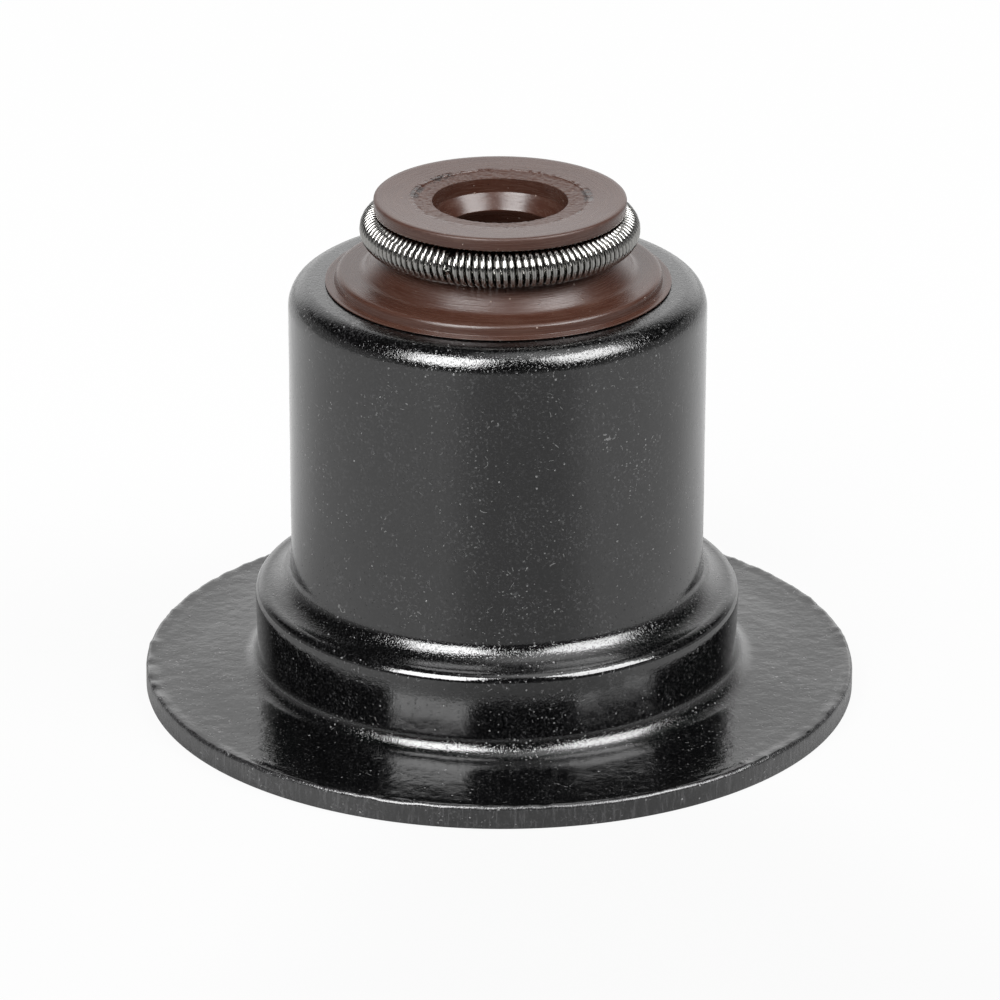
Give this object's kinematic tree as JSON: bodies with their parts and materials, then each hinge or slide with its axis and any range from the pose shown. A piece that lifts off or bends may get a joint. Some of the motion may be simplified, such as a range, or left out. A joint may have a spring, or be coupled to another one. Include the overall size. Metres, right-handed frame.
{
  "type": "valve stem seal",
  "caption": "Valve stem seal with a built-in spring seat: a drawn steel case with a wide flange, a bonded rubber lip element and a garter spring round the lip.",
  "frame": {"origin": "centre of the flange's underside, where the seal rests on the cylinder head", "axes": "+Z along the valve stem, from the cylinder head towards the valve spring retainer; the part is round about Z, and -Y is the side that the picture shows"},
  "size_m": [0.031, 0.031, 0.0224],
  "materials": {
    "coated_steel": "gloss black coat with fine pits and specks",
    "rubber": "moulded fluorocarbon rubber, satin",
    "spring_wire": "bright drawn wire"
  },
  "bodies": {
    "root": {"metal_case": "coated_steel", "rubber_element": "rubber", "garter_spring": "spring_wire"}
  },
  "joints": []
}
